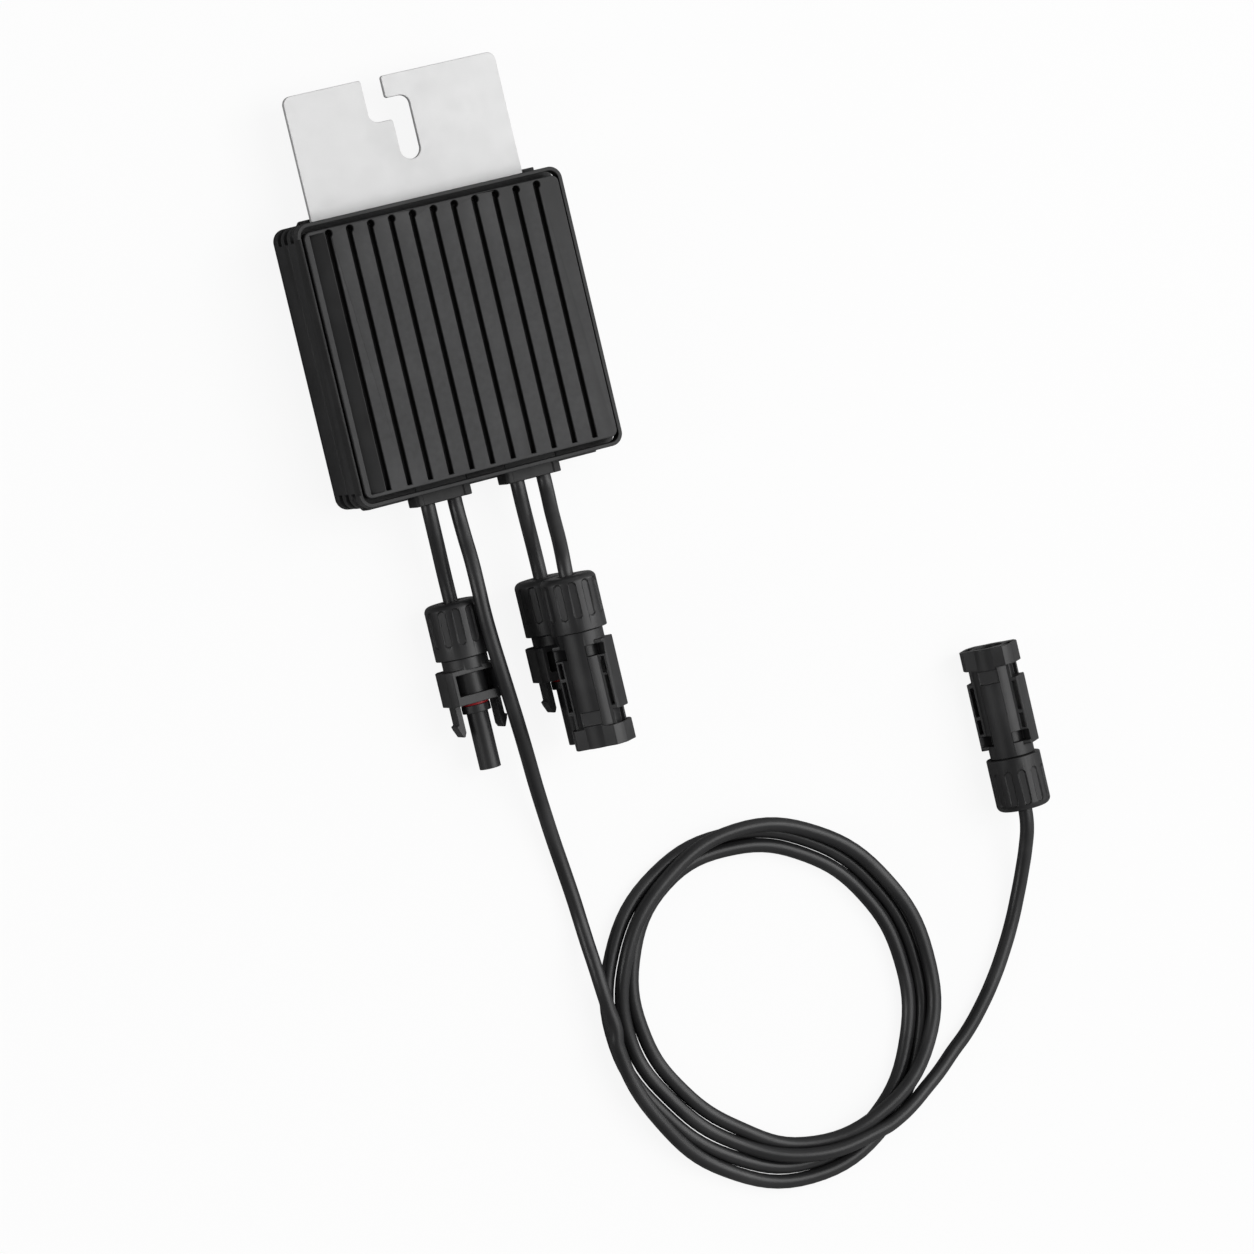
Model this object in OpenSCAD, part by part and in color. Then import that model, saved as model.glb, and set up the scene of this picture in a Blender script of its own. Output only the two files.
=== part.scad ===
// Module-level solar converter: a ribbed, potted box with a hook-slot bracket and four single-core
// leads that end in latching round connectors.
// The origin is the middle of the back cover's flat face. +X is to the right, +Y points to the
// bracket and +Z points out of the ribbed front. All sizes are in millimetres.

/* [Housing] */
// Width of the housing across the front strips
body_w = 100; // [96:1:125]
// Length of the housing from the lead end to the bracket end
body_l = 100; // [96:1:125]
// Depth from the back face to the top of the front strips
body_d = 28; // [26:0.5:40]
// Radius of the four corners in plan
corner_r = 4.5; // [3:0.5:6]
// Height of the joint between the two shells, where the leads leave
parting_z = 14.5; // [13.5:0.5:16]
// Thickness of the side walls and of the wall at the lead end
wall = 6.5; // [6:0.5:9]
// Thickness of the wall that clamps the bracket
clamp_wall = 12; // [11:0.5:16]
// Thickness of the back cover's floor
floor_t = 3; // [2:0.5:4]
// Thickness of the front shell behind the bottom of its grooves
front_skin = 3; // [2:0.5:4]

/* [Ribs] */
// Spacing of the grooves in the front
groove_pitch = 7.85; // [6:0.05:8]
// Number of grooves in the front
groove_count = 11; // [7:2:11]
// Width of one front groove
groove_w = 1.8; // [1:0.1:2.5]
// Depth of one front groove
groove_d = 2.5; // [1.5:0.1:3]
// Width of the channel round the raised front
valley_w = 1.8; // [1:0.1:2.5]
// Depth of the channel below the outer ring
valley_d = 5.5; // [2:0.1:6]
// Thickness of the outer ring wall
ring_t = 1.4; // [1:0.1:2]
// Width of the channel along the two sides
side_valley_w = 0.6; // [0.4:0.1:1.2]
// Thickness of the outer wall along the two sides
side_ring_t = 1.5; // [1.2:0.1:2]
// Step from the outer ring up to the raised front
ring_step = 1; // [0.5:0.1:2]
// Width of the thin ridge along the left side of the raised front
ridge_w = 2.1; // [1:0.1:2.4]
// How far the strip beside the ridge falls away
strip_fall = 2; // [0.5:0.1:2.2]
// Height of each groove round the edge of the housing
edge_groove_h = 4; // [2:0.5:4.5]
// Depth of each groove round the edge of the housing
edge_groove_d = 3.5; // [2:0.1:3.5]
// Spacing of the grooves round the edge
edge_pitch = 7; // [6:0.5:8]
// Length of each corner that the edge grooves run round on to the sides
edge_return = 5.8; // [5:0.1:16]

/* [Bracket] */
// Width of the bracket plate
bracket_w = 80; // [60:1:84]
// Thickness of the bracket plate
bracket_t = 2; // [1.5:0.1:2.5]
// How far the plate stands out of the housing
bracket_out = 43.7; // [36:0.1:60]
// How deep the plate is held in the clamping wall
bracket_root = 9; // [8:0.5:9.5]
// Radius of the plate's outer corners
bracket_r = 3; // [1:0.5:5]
// Width of the hook slot
slot_w = 7.6; // [6:0.1:9]
// Place of the slot's way in, across the plate
slot_in_x = -6.9; // [-12:0.1:-6]
// Place of the slot's seat, across the plate
slot_seat_x = 1.5; // [1:0.1:6]
// Height of the sideways run above the top of the housing
slot_side_y = 32.1; // [28:0.1:33]
// Height of the seat's centre above the top of the housing
slot_seat_y = 17.3; // [12:0.1:20]
// Radius at the outer corners of the slot
slot_fillet = 3.4; // [1:0.1:3.6]

/* [Glands] */
// Distance of each gland's centre from the middle
gland_x = 17.1; // [15:0.1:24]
// Width of a gland block
gland_w = 21.4; // [19:0.2:24]
// Height of a gland block
gland_h = 9.6; // [9:0.1:11]
// How far a gland stands out of the wall
gland_out = 4.3; // [3:0.1:6]
// Spacing of the two leads in one gland
lead_pitch = 10.1; // [9.6:0.1:10.6]

/* [Leads] */
// Outer diameter of the leads
lead_d = 5.2; // [4.8:0.1:5.4]
// Diameter of the copper inside each lead
copper_d = 2.6; // [2:0.1:3]

/* [Connectors] */
// Diameter of the cap nut
nut_d = 20; // [18:0.5:20]
// Length of the cap nut
nut_l = 19.8; // [17:0.1:22]
// Diameter of the hole where the lead enters the nut
nut_hole_d = 7; // [6.4:0.1:7.4]
// Number of grip flutes on the nut
flute_count = 12; // [8:1:14]
// Diameter of the threaded end under the nut
thread_d = 15; // [14.6:0.1:15.4]
// Diameter of the plain neck between the nut and the body
neck_d = 16.4; // [15.6:0.1:17]
// Length of the plain neck
neck_l = 3.7; // [3:0.1:5]
// Diameter that rounds off the corners of both kinds of body
body_round_d = 22.6; // [22.4:0.1:24]
// Width of the socket connector's body
socket_body_w = 20.7; // [20:0.1:21.6]
// Length of the socket connector's body
socket_body_l = 12.3; // [11.5:0.1:15]
// Diameter of the drum inside the body's window
drum_d = 12.3; // [12:0.1:12.4]
// Diameter of the nose tube
nose_d = 7.65; // [7.2:0.05:7.9]
// Length of the nose tube in front of its collar
nose_l = 20.4; // [19:0.1:24]
// Diameter of the collar behind the nose
collar_d = 10.3; // [9.6:0.1:10.6]
// Length of the collar
collar_l = 2.8; // [2:0.1:3.2]
// Thickness of the red seal ring on the nose
nose_ring_t = 1; // [0.8:0.1:1.2]
// How far the latch fingers stand out of the body
finger_out = 11.2; // [10:0.1:12.5]
// Width of a latch finger
finger_w = 6.5; // [6:0.5:8.5]
// Thickness of a latch finger
finger_t = 2.1; // [2:0.1:2.4]
// Width of the pin connector's body
pin_body_w = 20.3; // [19.6:0.1:21]
// Length of the pin connector's body up to its notches
pin_body_l = 25; // [24:0.1:28]
// Length of the notches that the latch fingers snap into
notch_l = 5; // [4.4:0.1:5.4]
// Depth of those notches
notch_d = 2.3; // [1.6:0.1:2.6]
// Length of the flange in front of the notches
flange_l = 7.2; // [6.6:0.1:7.6]
// Diameter of the contact pin
pin_d = 4; // [3.6:0.1:4.2]

/* [Hidden] */
$fn = 48;
e = 0.01;          // overshoot of a cut past the face it opens
fit_gap = 0.1;     // clearance of pieces that sit in a pocket

black = "#2b2b2b";
dark = "#202020";
alu = "#dcdcdc";
steel = "#b8bcc0";
copper = "#b87333";
rubber = "#3a3a3a";
seal_red = "#8c1f24";

// The main planes of the housing
top_y = body_l / 2;
bottom_y = -body_l / 2;
cavity_top_y = top_y - clamp_wall;
cavity_bottom_y = bottom_y + wall;
cavity_x = body_w / 2 - wall;
ring_z = body_d - ring_step;
groove_floor_z = body_d - groove_d;
cavity_z = groove_floor_z - front_skin;
panel_x = body_w / 2 - side_ring_t - side_valley_w;
panel_y = body_l / 2 - ring_t - valley_w;
gland_face_y = bottom_y - gland_out;
plate_z = parting_z;                        // the plate lies on the back cover's face

// ---------------------------------------------------------------- shared shapes

// A rectangle with round corners, centred, made of exact squares and circles
module round_rect(w, l, r) {
    square([w - 2 * r, l], center = true);
    square([w, l - 2 * r], center = true);
    for (sx = [-1, 1], sy = [-1, 1])
        translate([sx * (w / 2 - r), sy * (l / 2 - r)]) circle(r);
}

module round_block(w, l, r, z0, z1) {
    translate([0, 0, z0]) linear_extrude(z1 - z0) round_rect(w, l, r);
}

// The inside fillet between two straight edges, with its corner at the origin, in +X +Y
module fillet_corner(r) {
    difference() {
        translate([-e, -e]) square(r + e);
        translate([r, r]) circle(r);
    }
}

// A box given by its two corners
module box(low, high) {
    translate(low) cube(high - low);
}

// ---------------------------------------------------------------- housing

edge_groove_z = [for (i = [0:2]) 6.5 + i * edge_pitch];
edge_corner_r = 1.5;      // corner radius at the bottom of the edge grooves

// The grooves that run along both ends and round the corners
module edge_grooves() {
    for (z = edge_groove_z) difference() {
        round_block(body_w + 4, body_l + 4, corner_r, z - edge_groove_h / 2,
            z + edge_groove_h / 2);
        round_block(body_w - 2 * edge_groove_d, body_l - 2 * edge_groove_d, edge_corner_r,
            z - body_d, z + body_d);
        box([-body_w, -body_l / 2 + edge_return, 0], [body_w, body_l / 2 - edge_return, body_d + 1]);
    }
}

boss_d = 8;
boss_in = 3;                      // how far a boss centre lies inside the cavity's corner
boss_x = cavity_x - boss_in;
boss_places = [for (sx = [-1, 1]) for (y = [cavity_bottom_y + boss_in, cavity_top_y - boss_in])
    [sx * boss_x, y]];
cover_screw_d = 3;
cover_screw_l = parting_z + 4;
screw_head_d = 5.6;
screw_head_h = 2.2;

// The cavity, less the corner bosses that take the screws
module cavity(z0, z1) {
    difference() {
        box([-cavity_x, cavity_bottom_y, z0], [cavity_x, cavity_top_y, z1]);
        for (p = boss_places) translate([p[0], p[1], z0 - 1]) cylinder(d = boss_d, h = z1 - z0 + 2);
    }
}

gland_inner_w = gland_w - 2;
gland_inner_h = gland_h - 1.6;

module gland_pockets() {
    for (s = [-1, 1]) box(
        [s * gland_x - gland_inner_w / 2, bottom_y - 1, parting_z - gland_inner_h / 2],
        [s * gland_x + gland_inner_w / 2, cavity_bottom_y + 1, parting_z + gland_inner_h / 2]);
}

bracket_root_y = top_y - bracket_root;

module bracket_pocket() {
    box([-bracket_w / 2, bracket_root_y, plate_z],
        [bracket_w / 2, top_y + 1, plate_z + bracket_t]);
}

// The strip beside the thin ridge on the left, which falls away outwards
module side_fall() {
    first_x = (groove_count - 1) / 2 * groove_pitch + groove_w / 2;
    ridge_in = panel_x - ridge_w;
    mirror([1, 0, 0]) translate([0, panel_y - 1.3, 0]) rotate([90, 0, 0])
        linear_extrude(2 * panel_y - 2.6)
            polygon([[first_x, body_d], [first_x, body_d + 1], [ridge_in, body_d + 1],
                [ridge_in, body_d - strip_fall]]);
}

ring_bevel_h = 3.2;        // height of the slope on the left side's outer wall
ring_crest = 0.8;          // what the slope leaves of the wall's top
side_channel_d = 0.8;      // depth of the channel along the right side

// The slope along the top of the left side wall, between the corners
module side_slope() {
    crest_x = -body_w / 2 + side_ring_t - ring_crest;
    translate([0, body_l / 2 - corner_r - 0.6, 0]) rotate([90, 0, 0])
        linear_extrude(body_l - 2 * corner_r - 1.2)
            polygon([[-body_w / 2 - 1, ring_z - ring_bevel_h], [-body_w / 2, ring_z - ring_bevel_h],
                [crest_x, ring_z], [crest_x, ring_z + 1], [-body_w / 2 - 1, ring_z + 1]]);
}

module front_shell() {
    color(black) difference() {
        union() {
            round_block(body_w, body_l, corner_r, parting_z, ring_z);
            round_block(2 * panel_x, 2 * panel_y, corner_r - 2, parting_z, body_d);
        }
        difference() {
            round_block(body_w - 2 * side_ring_t, body_l - 2 * ring_t, corner_r - ring_t,
                ring_z - valley_d, body_d + 1);
            round_block(2 * panel_x, 2 * panel_y, corner_r - 2, 0, body_d + 2);
            box([panel_x - 1, -panel_y + corner_r, parting_z],
                [body_w / 2, panel_y - corner_r, ring_z - side_channel_d]);
        }
        side_slope();
        for (i = [0:groove_count - 1]) {
            x = (i - (groove_count - 1) / 2) * groove_pitch;
            box([x - groove_w / 2, -panel_y + 1.3, groove_floor_z],
                [x + groove_w / 2, panel_y - 1.3, body_d + 1]);
            // the cutter's run-out at the head of the groove
            translate([x + 0.4, panel_y - 1.9, groove_floor_z + 0.4]) cylinder(d = 2.6, h = 5);
        }
        side_fall();
        edge_grooves();
        cavity(parting_z - 1, cavity_z);
        gland_pockets();
        bracket_pocket();
        for (p = boss_places) translate([p[0], p[1], parting_z - 1])
            cylinder(d = cover_screw_d, h = cover_screw_l - parting_z + 1);
        bracket_screw_holes(bracket_screw_d);
    }
}

lip_w = 90;
lip_out = 1.2;
lip_shift = 1.5;           // how far the lip at the bracket end stands to the right
lip_h = 4.5;
standoff_h = 4;
board_t = 1.6;
board_z = floor_t + standoff_h;
board_clear = 0.6;
standoff_places = [for (sx = [-1, 1]) for (y = [cavity_bottom_y + 14, cavity_top_y - 12])
    [sx * (cavity_x - 5), y]];
gasket_w = 1.6;
gasket_t = 1.4;
gasket_in = wall - 1.9;

// The path of the gasket, a closed ring inside the screws' reach of the outer wall
module gasket_ring(grow) {
    y0 = bottom_y + gasket_in;
    y1 = cavity_top_y + 2;
    w = body_w - 2 * gasket_in;
    difference() {
        translate([0, (y0 + y1) / 2]) round_rect(w + grow, y1 - y0 + grow, 2);
        translate([0, (y0 + y1) / 2]) round_rect(w - 2 * gasket_w - grow,
            y1 - y0 - 2 * gasket_w - grow, 0.6);
    }
}

module back_cover() {
    color(black) difference() {
        union() {
            round_block(body_w, body_l, corner_r, 0, parting_z);
            for (s = [-1, 1]) translate([s > 0 ? lip_shift : 0, 0, parting_z - lip_h])
                linear_extrude(lip_h) {
                    translate([0, s * (top_y - 2 + lip_out / 2)])
                        square([lip_w - 2 * lip_out, 4 + lip_out], center = true);
                    for (sx = [-1, 1]) translate([sx * (lip_w / 2 - lip_out), s * top_y])
                        circle(lip_out);
                }
        }
        difference() {
            edge_grooves();
            for (s = [-1, 1]) translate([s > 0 ? lip_shift : 0, 0, 0])
                box([-lip_w / 2 + lip_out, s * top_y - 6, parting_z - lip_h],
                    [lip_w / 2 - lip_out, s * top_y + 6, parting_z + e]);
        }
        difference() {
            cavity(floor_t, parting_z + 1);
            for (p = standoff_places) translate([p[0], p[1], 0]) cylinder(d = 6, h = board_z);
        }
        for (p = standoff_places) translate([p[0], p[1], board_z - 3.4])
            cylinder(d = board_screw_d, h = 4);
        gland_pockets();
        // the lip stops at each gland
        for (s = [-1, 1]) box(
            [s * gland_x - gland_w / 2, bottom_y - 3, parting_z - gland_h / 2],
            [s * gland_x + gland_w / 2, bottom_y, parting_z + 1]);
        translate([0, 0, parting_z - gasket_t]) linear_extrude(gasket_t + 1) gasket_ring(0);
        for (p = boss_places) translate([p[0], p[1], -1]) {
            cylinder(d = cover_screw_d, h = parting_z + 2);
            cylinder(d = screw_head_d, h = screw_head_h + 1.3);
        }
        bracket_screw_holes(bracket_screw_d);
        for (x = bracket_screw_x) translate([x, bracket_screw_y, -1])
            cylinder(d = screw_head_d, h = screw_head_h + 1.3);
    }
}

module shell_gasket() {
    color(rubber) difference() {
        translate([0, 0, parting_z - gasket_t]) linear_extrude(gasket_t) gasket_ring(0);
        gland_pockets();
    }
}

// A pan-head screw that points up, with its head's underside at z = screw_head_h + 0.3
module screw(d, length, head_d, head_h) {
    difference() {
        union() {
            cylinder(d = d, h = length);
            cylinder(d = head_d, h = head_h);
        }
        translate([0, 0, -e]) for (a = [0, 90]) rotate([0, 0, a])
            translate([-head_d / 3, -0.4, 0]) cube([head_d / 1.5, 0.8, head_h * 0.6]);
    }
}

head_sink = 0.3;              // how far a screw head lies below the back face

module cover_screws() {
    color(steel) for (p = boss_places) translate([p[0], p[1], head_sink])
        screw(cover_screw_d, cover_screw_l - head_sink, screw_head_d, screw_head_h);
}

// ---------------------------------------------------------------- bracket

bracket_screw_d = 3;
bracket_screw_y = top_y - 5.2;
bracket_screw_x = [-30, 0, 30];
bracket_screw_l = plate_z + bracket_t + 5;
bracket_hole_d = 3.3;

module bracket_screw_holes(d) {
    for (x = bracket_screw_x) translate([x, bracket_screw_y, -1])
        cylinder(d = d, h = bracket_screw_l + 1);
}

module bracket_screws() {
    color(steel) for (x = bracket_screw_x) translate([x, bracket_screw_y, head_sink])
        screw(bracket_screw_d, bracket_screw_l - head_sink, screw_head_d, screw_head_h);
}

bracket_top = top_y + bracket_out;
side_y = top_y + slot_side_y;
seat_y = top_y + slot_seat_y;
slot_r = slot_w / 2;
slot_inner_r = 1;

// The slot: in from the edge, sideways, then down to the seat
module hook_slot() {
    low = side_y - slot_r;
    high = side_y + slot_r;
    left = slot_in_x - slot_r;
    right = slot_seat_x + slot_r;
    difference() {
        union() {
            translate([left, low]) square([slot_w, bracket_top + 1 - low]);
            translate([left, low]) square([right - left, slot_w]);
            translate([slot_seat_x - slot_r, seat_y]) square([slot_w, high - seat_y]);
            translate([slot_seat_x, seat_y]) circle(slot_r);
        }
        translate([left, low]) fillet_corner(slot_fillet);
        translate([right, high]) rotate(180) fillet_corner(slot_fillet);
    }
    translate([slot_in_x + slot_r, high]) fillet_corner(slot_inner_r);
    translate([slot_seat_x - slot_r, low]) rotate(180) fillet_corner(slot_inner_r);
    // the rounded lips of the way in
    for (s = [-1, 1]) translate([slot_in_x + s * slot_r, bracket_top]) mirror([s < 0 ? 1 : 0, 0])
        rotate(-90) fillet_corner(slot_inner_r);
}

module bracket() {
    r = bracket_r;
    color(alu) difference() {
        translate([0, 0, plate_z]) linear_extrude(bracket_t) difference() {
            union() {
                translate([-bracket_w / 2, bracket_root_y])
                    square([bracket_w, bracket_top - r - bracket_root_y]);
                translate([-bracket_w / 2 + r, bracket_root_y])
                    square([bracket_w - 2 * r, bracket_top - bracket_root_y]);
                for (s = [-1, 1]) translate([s * (bracket_w / 2 - r), bracket_top - r]) circle(r);
            }
            hook_slot();
        }
        bracket_screw_holes(bracket_hole_d);
    }
}

// ---------------------------------------------------------------- glands and lead ends inside

seal_d = 8;
seal_bore_d = lead_d + 0.1;
seal_back_y = cavity_bottom_y - 0.6;
lead_x = [-gland_x - lead_pitch / 2, -gland_x + lead_pitch / 2,
    gland_x - lead_pitch / 2, gland_x + lead_pitch / 2];

// A round bar along -Y from y0 to y1 at the lead height
module along_y(x, y0, y1, d) {
    translate([x, y0, parting_z]) rotate([-90, 0, 0]) cylinder(d = d, h = y1 - y0);
}

module gland(s) {
    r = 1.6;
    color(dark) difference() {
        union() {
            translate([s * gland_x, bottom_y, parting_z]) rotate([90, 0, 0])
                linear_extrude(gland_out) round_rect(gland_w, gland_h, r);
            box([s * gland_x - gland_inner_w / 2, bottom_y - e, parting_z - gland_inner_h / 2],
                [s * gland_x + gland_inner_w / 2, cavity_bottom_y,
                    parting_z + gland_inner_h / 2]);
        }
        // the lowered middle of the upper and lower faces
        for (sz = [-1, 1]) translate([s * gland_x, bottom_y - gland_out / 2,
            parting_z + sz * gland_h / 2])
            cube([gland_w - 2 * 3, gland_out + 2, 1], center = true);
        for (x = lead_x) {
            along_y(x, gland_face_y - 1, cavity_bottom_y + 1, seal_bore_d);
            along_y(x, gland_face_y - 1, seal_back_y, seal_d);
        }
    }
}

module gland_left() gland(-1);
module gland_right() gland(1);

module gland_seals() {
    color(rubber) for (x = lead_x) difference() {
        along_y(x, gland_face_y, seal_back_y, seal_d);
        along_y(x, gland_face_y - 1, seal_back_y + 1, seal_bore_d);
    }
}

terminal_w = 8.4;
terminal_l = 8;
terminal_y = cavity_bottom_y + 6;
tail_end_y = terminal_y + 6;

module lead_terminals() {
    color(steel) for (x = lead_x) difference() {
        box([x - terminal_w / 2, terminal_y, board_z + board_t],
            [x + terminal_w / 2, terminal_y + terminal_l, parting_z + 4.4]);
        along_y(x, terminal_y - 1, tail_end_y, copper_d);
        translate([x, terminal_y + 3, parting_z]) cylinder(d = 3, h = 6);
    }
}

// The stretch of each lead from the gland's outer face to its terminal, with its bared end
module lead_tails() {
    color(dark) for (x = lead_x) {
        along_y(x, gland_face_y, terminal_y, lead_d);
        along_y(x, terminal_y - e, tail_end_y, copper_d);
    }
}

// ---------------------------------------------------------------- electronics

board_w = 2 * (cavity_x - board_clear);
board_y0 = cavity_bottom_y + board_clear;
board_y1 = cavity_top_y - board_clear;
board_top = board_z + board_t;
board_notch = boss_in + boss_d / 2 + board_clear;
board_screw_d = 2.5;

module board() {
    color("darkgreen") difference() {
        box([-board_w / 2, board_y0, board_z], [board_w / 2, board_y1, board_top]);
        for (sx = [-1, 1], y = [cavity_bottom_y, cavity_top_y])
            translate([sx * cavity_x, y, board_z]) cube(2 * board_notch, center = true);
        for (p = standoff_places) translate([p[0], p[1], board_z - 1])
            cylinder(d = board_screw_d, h = board_t + 2);
    }
}

module board_screws() {
    color(steel) for (p = standoff_places) translate([p[0], p[1], board_z - 3.4]) {
        cylinder(d = board_screw_d, h = 3.4 + board_t + 1);
        translate([0, 0, 3.4 + board_t]) cylinder(d = 4.6, h = 1.6);
    }
}

spreader_t = 1.5;
pad_t = 0.5;
power_w = 52;
power_y0 = -14;
power_y1 = 6;

module heat_spreader() {
    color(alu) box([-power_w / 2, power_y0, floor_t],
        [power_w / 2, power_y1, floor_t + spreader_t]);
}

module thermal_pad() {
    color("gainsboro") box([-power_w / 2 + 2, power_y0 + 2, floor_t + spreader_t],
        [power_w / 2 - 2, power_y1 - 2, floor_t + spreader_t + pad_t]);
}

transistor_w = 9;
transistor_l = 10;

module power_transistors() {
    z0 = floor_t + spreader_t + pad_t;
    color(dark) for (i = [0:3]) {
        x = (i - 1.5) * 11.6;
        box([x - transistor_w / 2, power_y0 + 4, z0],
            [x + transistor_w / 2, power_y0 + 4 + transistor_l, board_z]);
    }
}

// Potting compound poured under the board, round the heat spreader and the standoffs
module potting_layer() {
    color("dimgray") difference() {
        cavity(floor_t, board_z - 1.5);
        for (p = standoff_places) translate([p[0], p[1], 0]) cylinder(d = 6, h = board_z);
        box([-power_w / 2, power_y0, 0], [power_w / 2, power_y1, board_z]);
    }
}

core_w = 24;
core_h = 11;
core_x = -22;
core_y = 12;
coil_out_d = 19;
coil_in_d = 11;

// A pot core: two plates, a round centre leg and two side walls
module inductor_core() {
    color(rubber) translate([core_x, core_y, board_top]) {
        for (z = [0, core_h - 2]) translate([-core_w / 2, -core_w / 2, z])
            cube([core_w, core_w, 2]);
        cylinder(d = coil_in_d - 1, h = core_h);
        for (s = [0, 1]) mirror([s, 0, 0]) translate([core_w / 2 - 2, -core_w / 2, 0])
            cube([2, core_w, core_h]);
    }
}

module inductor_coil() {
    color(copper) translate([core_x, core_y, board_top + 2 + fit_gap]) difference() {
        cylinder(d = coil_out_d, h = core_h - 4 - 2 * fit_gap);
        translate([0, 0, -1]) cylinder(d = coil_in_d, h = core_h);
    }
}

module filter_capacitors() {
    color("midnightblue") for (i = [0:2], j = [0:1])
        translate([8 + i * 10.6, 8 + j * 10.6, board_top]) cylinder(d = 10, h = 12);
}

module film_capacitors() {
    color("goldenrod") for (i = [0:1])
        translate([-8 + i * 18, -16, board_top]) cube([15, 7, 10.5]);
}

module control_chips() {
    color(dark) {
        translate([-34, -22, board_top]) cube([9, 9, 1.4]);
        translate([-20, -24, board_top]) cube([6, 5, 1.2]);
        translate([-12, 28, board_top]) cube([7, 5, 1.2]);
    }
}

module comms_transformer() {
    color(rubber) translate([34, -14, board_top]) difference() {
        cylinder(d = 13, h = 6.5);
        translate([0, 0, -1]) cylinder(d = 6, h = 9);
    }
}

// ---------------------------------------------------------------- leads

tube_sides = 10;

function unit(v) = v / norm(v);
// The direction of a route at point i, from its two neighbours
function heading(route, i) = unit(route[min(i + 1, len(route) - 1)] - route[max(i - 1, 0)]);
// One ring of points round the route at point i
function ring(route, i, d) = let (t = heading(route, i), side = unit(cross(t, [0, 0, 1])),
    up = cross(side, t)) [for (k = [0:tube_sides - 1]) let (a = 360 * k / tube_sides)
    route[i] + d / 2 * (cos(a) * side + sin(a) * up)];

// A closed tube swept along a route
module tube(route, d) {
    n = tube_sides;
    last = len(route) - 1;
    points = [for (i = [0:last]) each ring(route, i, d)];
    sides = [for (i = [0:last - 1], k = [0:n - 1]) let (m = (k + 1) % n)
        [i * n + k, i * n + m, (i + 1) * n + m, (i + 1) * n + k]];
    polyhedron(points, concat(sides, [[for (k = [n - 1:-1:0]) k]], [[for (k = [0:n - 1]) last * n + k]]));
}

rest_z = 10.1;             // height of a connector's axis when it lies on its nut
socket_a_at = [-20.7, -89.5, rest_z];
socket_c_at = [14, -89.5, rest_z];
pin_d_at = [16, -89.5, 30.1];
pin_far_at = [176.9, -216.6, rest_z];
contact_back = 21;         // how far past the nut's end a lead meets its contact

module lead_a() {
    color(dark) tube([[lead_x[0], gland_face_y, parting_z], [lead_x[0], -57, parting_z], [-21.9, -64, 13.7],
        [-21.5, -70, 12.5], [-21.1, -76, 11.2], [-20.8, -82, 10.3], [-20.7, -88, 10.1],
        socket_a_at - [0, contact_back, 0]], lead_d);
}

module lead_c() {
    color(dark) tube([[lead_x[2], gland_face_y, parting_z], [lead_x[2], -57, parting_z], [12.4, -64, 13.6],
        [12.9, -70, 12.5], [13.5, -76, 11.2], [13.9, -82, 10.3], [14, -88, 10.1],
        socket_c_at - [0, contact_back, 0]], lead_d);
}

module lead_d() {
    color(dark) tube([[lead_x[3], gland_face_y, parting_z], [lead_x[3], -56.5, parting_z], [21.6, -62, 15.9],
        [20.7, -67, 18.1], [19.6, -72, 21.3], [18.3, -77, 25.1], [17, -82, 28.3],
        [16.2, -87, 29.8], [16, -90.5, 30.1], pin_d_at - [0, contact_back, 0]], lead_d);
}

// The long lead comes up over the first connector's nut and down to the floor
module lead_long_near() {
    color(dark) tube([[lead_x[1], gland_face_y, parting_z], [lead_x[1], -58, parting_z], [-12.4, -68, 16.5],
        [-12.9, -77, 19.3], [-13.5, -86, 21.2], [-13.7, -95, 21.7], [-13.3, -105, 21.7],
        [-12.4, -116, 21.3], [-11.1, -127, 19.9], [-9.4, -138, 17.2], [-7.4, -149, 13.2],
        [-5.5, -160, 9.2], [-3.6, -171, 6], [-1.9, -182, 3.8], [-0.4, -193, 2.8],
        [0.7, -204, 2.7], [1.1, -212, 3.2], [1.1, -220, 4.9], [1.1, -228, 7], [1.3, -236, 8.2],
        [1.9, -244, 8.4], [2.7, -251.5, 8.4]], lead_d);
}

coil_at = [64.7, -258.1, 0];
coil_in_r = 51.5;
coil_out_r = 66;
coil_h = 11;

// The outer shape of the wound part of the long lead
module lead_long_coil() {
    color(dark) translate(coil_at) rotate_extrude($fn = 96)
        translate([coil_in_r, 0]) square([coil_out_r - coil_in_r, coil_h]);
}

module lead_long_far() {
    color(dark) tube([[94.5, -314.9, 8.1], [101, -312.9, 8], [107.8, -309.9, 7.2],
        [115, -306, 5.8], [122.4, -301.9, 4.2], [130, -296.6, 3], [137.3, -291.3, 2.7],
        [145.2, -283.8, 2.7], [152.7, -275.2, 2.7], [159.2, -266.2, 2.7], [164.7, -257.2, 2.9],
        [169.1, -248, 3.8], [172.5, -239, 5.6], [174.8, -231, 7.8], [176.3, -224, 9.5],
        [176.9, -217.5, 10.1], pin_far_at + [0, contact_back, 0]], lead_d);
}

// ---------------------------------------------------------------- connector pieces
// Each is drawn along +Z, with z = 0 at the cable end of its nut and the mating end at the top.

run_gap = 0.2;             // clearance of pieces that turn or slide in one another
nut_end_t = 2.1;
nut_round = 2.4;
clamp_d = 11.2;
clamp_gap = 0.3;           // clearance of the split ring round the lead
clamp_z = nut_end_t + run_gap;
seal_z = 9;
seal_l = 8;
pocket_d = 11.6;
body_z = nut_l + neck_l;
thread_z = 7;
flute_w = 2.6;
flute_depth = 0.6;
flute_z0 = 3.4;
flute_z1 = nut_l - 6.2;
crimp_d = 5;
contact_z = contact_back;
contact_bore_d = 5.2;

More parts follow.
